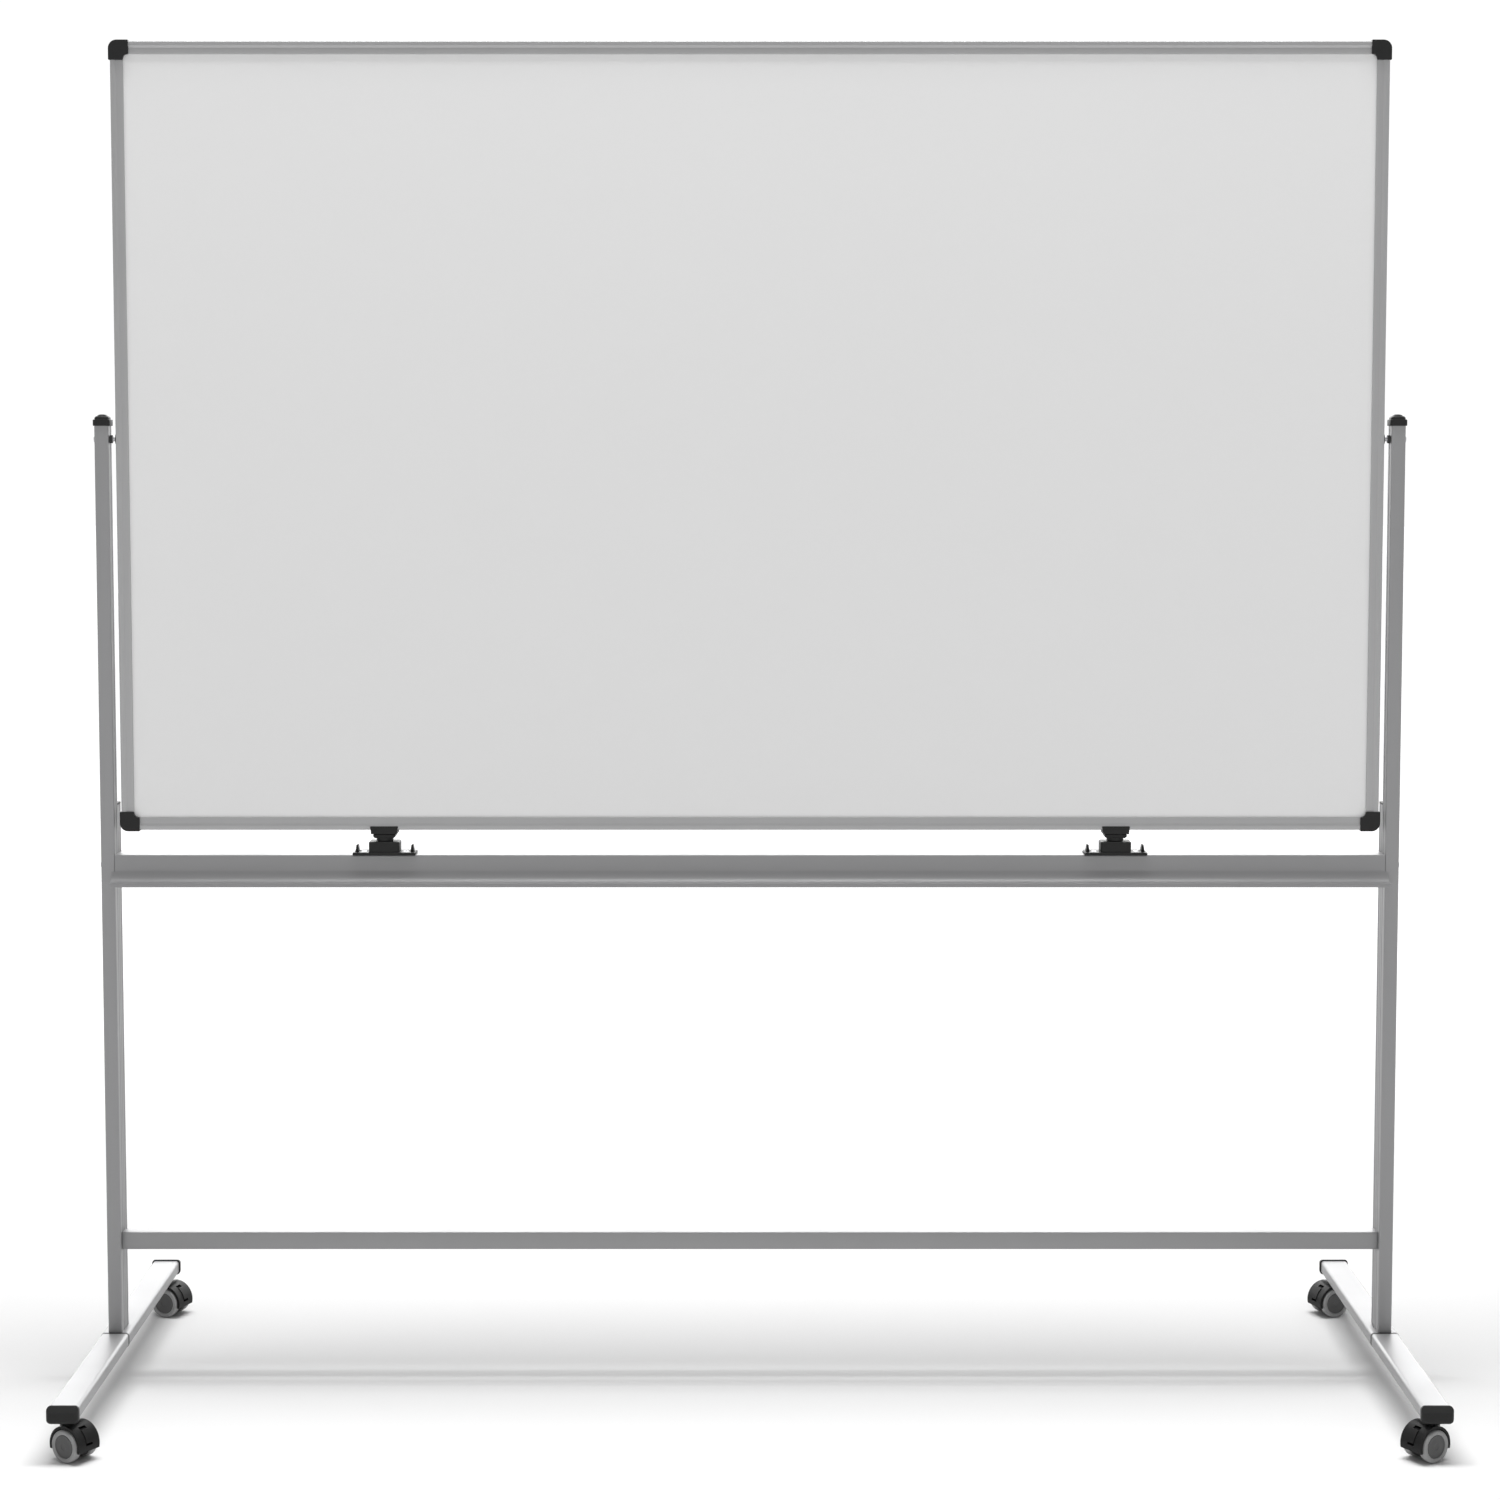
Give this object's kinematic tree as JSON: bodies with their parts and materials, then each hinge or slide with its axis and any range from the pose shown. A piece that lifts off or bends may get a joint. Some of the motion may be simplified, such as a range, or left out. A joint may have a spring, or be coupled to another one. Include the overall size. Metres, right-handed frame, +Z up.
{
  "type": "rolling whiteboard",
  "caption": "Two-sided whiteboard that flips between two legs on a rolling stand with a marker tray, board latches and swivel casters.",
  "frame": {"origin": "on the floor under the middle of the stand", "axes": "+X to the user's right, -Y to the front, where the marker tray is, +Z up"},
  "size_m": [1.8848, 0.7256, 1.929],
  "materials": {
    "frame": "anodised satin silver",
    "corner_cap": "moulded black",
    "writing_surface": "gloss white enamel",
    "core": "light fibreboard",
    "bush": "natural nylon",
    "stand_tube": "silver-grey powder coat",
    "black_cap": "moulded black",
    "latch_plastic": "moulded black",
    "fastener": "zinc plated",
    "friction_ring": "moulded rubber",
    "caster_steel": "zinc plated",
    "caster_hood": "moulded black",
    "brake_plastic": "moulded black",
    "wheel_hub": "moulded dark grey",
    "wheel_tyre": "grey tread"
  },
  "bodies": {
    "stand": {"leg_left": "stand_tube", "leg_right": "stand_tube", "leg_stiffeners": "stand_tube", "leg_end_caps": "black_cap", "leg_plugs": "black_cap", "tray_beam": "stand_tube", "lower_crossbar": "stand_tube", "foot_front_left": "stand_tube", "foot_front_right": "stand_tube", "foot_rear_left": "stand_tube", "foot_rear_right": "stand_tube", "foot_joiners": "black_cap", "foot_end_caps": "black_cap", "pivot_bolts": "fastener", "pivot_nuts": "fastener", "stand_screws": "fastener", "latch_bases": "latch_plastic", "latch_rings": "friction_ring", "latch_screws": "fastener", "caster_stems": "caster_steel"},
    "board": {"frame_top": "frame", "frame_bottom": "frame", "frame_left": "frame", "frame_right": "frame", "corner_caps": "corner_cap", "front_panel": "writing_surface", "rear_panel": "writing_surface", "board_core": "core", "pivot_bushes": "bush", "strike_shoes": "latch_plastic"},
    "latch_left": {"latch_head_left": "latch_plastic"},
    "latch_right": {"latch_head_right": "latch_plastic"},
    "caster_front_left": {"hood_front_left": "caster_hood", "axle_front_left": "caster_steel"},
    "brake_front_left": {"brake_lever_front_left": "brake_plastic"},
    "wheel_front_left_outer": {"hub_front_left_outer": "wheel_hub", "tyre_front_left_outer": "wheel_tyre"},
    "wheel_front_left_inner": {"hub_front_left_inner": "wheel_hub", "tyre_front_left_inner": "wheel_tyre"},
    "caster_front_right": {"hood_front_right": "caster_hood", "axle_front_right": "caster_steel"},
    "brake_front_right": {"brake_lever_front_right": "brake_plastic"},
    "wheel_front_right_outer": {"hub_front_right_outer": "wheel_hub", "tyre_front_right_outer": "wheel_tyre"},
    "wheel_front_right_inner": {"hub_front_right_inner": "wheel_hub", "tyre_front_right_inner": "wheel_tyre"},
    "caster_rear_left": {"hood_rear_left": "caster_hood", "axle_rear_left": "caster_steel"},
    "brake_rear_left": {"brake_lever_rear_left": "brake_plastic"},
    "wheel_rear_left_outer": {"hub_rear_left_outer": "wheel_hub", "tyre_rear_left_outer": "wheel_tyre"},
    "wheel_rear_left_inner": {"hub_rear_left_inner": "wheel_hub", "tyre_rear_left_inner": "wheel_tyre"},
    "caster_rear_right": {"hood_rear_right": "caster_hood", "axle_rear_right": "caster_steel"},
    "brake_rear_right": {"brake_lever_rear_right": "brake_plastic"},
    "wheel_rear_right_outer": {"hub_rear_right_outer": "wheel_hub", "tyre_rear_right_outer": "wheel_tyre"},
    "wheel_rear_right_inner": {"hub_rear_right_inner": "wheel_hub", "tyre_rear_right_inner": "wheel_tyre"}
  },
  "joints": [
    {"name": "board_flip", "type": "hinge", "parent": "stand", "child": "board", "pos_m": [0, -0.011, 1.369], "axis": [1, 0, 0], "continuous": true},
    {"name": "latch_lift_left", "type": "slide", "parent": "stand", "child": "latch_left", "axis": [0, 0, 1], "range_m": [0, 0.0044]},
    {"name": "latch_lift_right", "type": "slide", "parent": "stand", "child": "latch_right", "axis": [0, 0, 1], "range_m": [0, 0.0044]},
    {"name": "swivel_front_left", "type": "hinge", "parent": "stand", "child": "caster_front_left", "pos_m": [-0.92, -0.328, 0.057], "axis": [0, 0, 1], "continuous": true},
    {"name": "brake_front_left", "type": "hinge", "parent": "caster_front_left", "child": "brake_front_left", "pos_m": [-0.89329, -0.34469, 0.0295], "axis": [-0.5299, -0.848, 0], "range_deg": [0, 12]},
    {"name": "roll_front_left_outer", "type": "hinge", "parent": "caster_front_left", "child": "wheel_front_left_outer", "pos_m": [-0.90898, -0.33489, 0.0225], "axis": [0.5299, 0.848, 0], "continuous": true},
    {"name": "roll_front_left_inner", "type": "hinge", "parent": "caster_front_left", "child": "wheel_front_left_inner", "pos_m": [-0.90898, -0.33489, 0.0225], "axis": [0.5299, 0.848, 0], "continuous": true},
    {"name": "swivel_front_right", "type": "hinge", "parent": "stand", "child": "caster_front_right", "pos_m": [0.92, -0.328, 0.057], "axis": [0, 0, 1], "continuous": true},
    {"name": "brake_front_right", "type": "hinge", "parent": "caster_front_right", "child": "brake_front_right", "pos_m": [0.89329, -0.34469, 0.0295], "axis": [-0.5299, 0.848, 0], "range_deg": [0, 12]},
    {"name": "roll_front_right_outer", "type": "hinge", "parent": "caster_front_right", "child": "wheel_front_right_outer", "pos_m": [0.90898, -0.33489, 0.0225], "axis": [-0.5299, 0.848, 0], "continuous": true},
    {"name": "roll_front_right_inner", "type": "hinge", "parent": "caster_front_right", "child": "wheel_front_right_inner", "pos_m": [0.90898, -0.33489, 0.0225], "axis": [-0.5299, 0.848, 0], "continuous": true},
    {"name": "swivel_rear_left", "type": "hinge", "parent": "stand", "child": "caster_rear_left", "pos_m": [-0.92, 0.328, 0.057], "axis": [0, 0, 1], "continuous": true},
    {"name": "brake_rear_left", "type": "hinge", "parent": "caster_rear_left", "child": "brake_rear_left", "pos_m": [-0.89059, 0.31671, 0.0295], "axis": [-0.3584, -0.9336, 0], "range_deg": [0, 12]},
    {"name": "roll_rear_left_outer", "type": "hinge", "parent": "caster_rear_left", "child": "wheel_rear_left_outer", "pos_m": [-0.90786, 0.32334, 0.0225], "axis": [0.3584, 0.9336, 0], "continuous": true},
    {"name": "roll_rear_left_inner", "type": "hinge", "parent": "caster_rear_left", "child": "wheel_rear_left_inner", "pos_m": [-0.90786, 0.32334, 0.0225], "axis": [0.3584, 0.9336, 0], "continuous": true},
    {"name": "swivel_rear_right", "type": "hinge", "parent": "stand", "child": "caster_rear_right", "pos_m": [0.92, 0.328, 0.057], "axis": [0, 0, 1], "continuous": true},
    {"name": "brake_rear_right", "type": "hinge", "parent": "caster_rear_right", "child": "brake_rear_right", "pos_m": [0.89059, 0.31671, 0.0295], "axis": [-0.3584, 0.9336, 0], "range_deg": [0, 12]},
    {"name": "roll_rear_right_outer", "type": "hinge", "parent": "caster_rear_right", "child": "wheel_rear_right_outer", "pos_m": [0.90786, 0.32334, 0.0225], "axis": [-0.3584, 0.9336, 0], "continuous": true},
    {"name": "roll_rear_right_inner", "type": "hinge", "parent": "caster_rear_right", "child": "wheel_rear_right_inner", "pos_m": [0.90786, 0.32334, 0.0225], "axis": [-0.3584, 0.9336, 0], "continuous": true}
  ]
}
